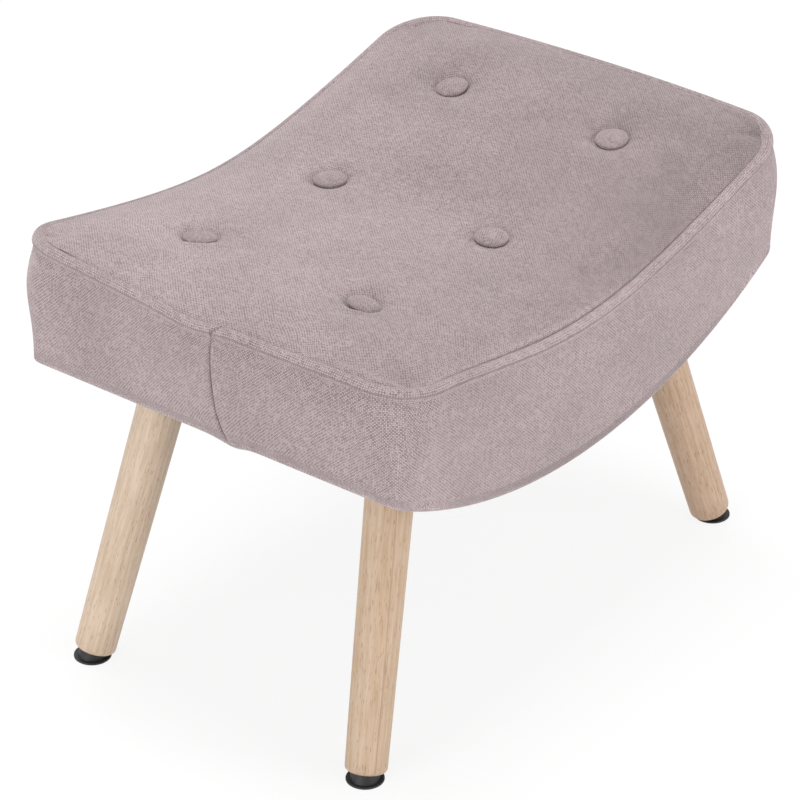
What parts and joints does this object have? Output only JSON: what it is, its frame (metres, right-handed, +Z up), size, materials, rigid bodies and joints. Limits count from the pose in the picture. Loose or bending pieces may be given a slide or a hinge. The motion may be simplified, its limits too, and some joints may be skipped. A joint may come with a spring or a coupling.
{
  "type": "upholstered footstool",
  "caption": "Upholstered footstool with a dipped, crowned and button-tufted seat, piping round its top edge, and round tapered wooden legs that splay both ways.",
  "frame": {"origin": "on the floor, under the middle of the seat", "axes": "+X along the seat's length, in which the seat dips, +Y across it, +Z up"},
  "size_m": [0.5734, 0.4136, 0.4093],
  "materials": {
    "seat_cloth": "matte",
    "piping_cloth": "matte",
    "beech": "satin",
    "plywood": "matte",
    "foam": "matte",
    "wadding": "matte",
    "dust_cover_cloth": "matte",
    "black_plastic": "matte",
    "zinc_steel": "satin",
    "twine": "matte"
  },
  "bodies": {
    "root": {"side_rail_front": "plywood", "side_rail_back": "plywood", "end_rail_left": "plywood", "end_rail_right": "plywood", "corner_block_front_left": "beech", "corner_block_front_right": "beech", "corner_block_back_left": "beech", "corner_block_back_right": "beech", "leg_front_left": "beech", "hanger_bolt_front_left": "zinc_steel", "tee_nut_front_left": "zinc_steel", "foot_glide_front_left": "black_plastic", "leg_back_left": "beech", "hanger_bolt_back_left": "zinc_steel", "tee_nut_back_left": "zinc_steel", "foot_glide_back_left": "black_plastic", "leg_rail_left": "beech", "leg_front_right": "beech", "hanger_bolt_front_right": "zinc_steel", "tee_nut_front_right": "zinc_steel", "foot_glide_front_right": "black_plastic", "leg_back_right": "beech", "hanger_bolt_back_right": "zinc_steel", "tee_nut_back_right": "zinc_steel", "foot_glide_back_right": "black_plastic", "leg_rail_right": "beech", "seat_deck": "plywood", "wadding": "wadding", "seat_foam": "foam", "top_panel": "seat_cloth", "boxing_front": "seat_cloth", "boxing_back": "seat_cloth", "piping": "piping_cloth", "button_front_left": "seat_cloth", "twine_washer_front_left": "zinc_steel", "tufting_twine_front_left": "twine", "button_front_middle": "seat_cloth", "twine_washer_front_middle": "zinc_steel", "tufting_twine_front_middle": "twine", "button_front_right": "seat_cloth", "twine_washer_front_right": "zinc_steel", "tufting_twine_front_right": "twine", "button_back_left": "seat_cloth", "twine_washer_back_left": "zinc_steel", "tufting_twine_back_left": "twine", "button_back_middle": "seat_cloth", "twine_washer_back_middle": "zinc_steel", "tufting_twine_back_middle": "twine", "button_back_right": "seat_cloth", "twine_washer_back_right": "zinc_steel", "tufting_twine_back_right": "twine", "dust_cover": "dust_cover_cloth"}
  },
  "joints": []
}
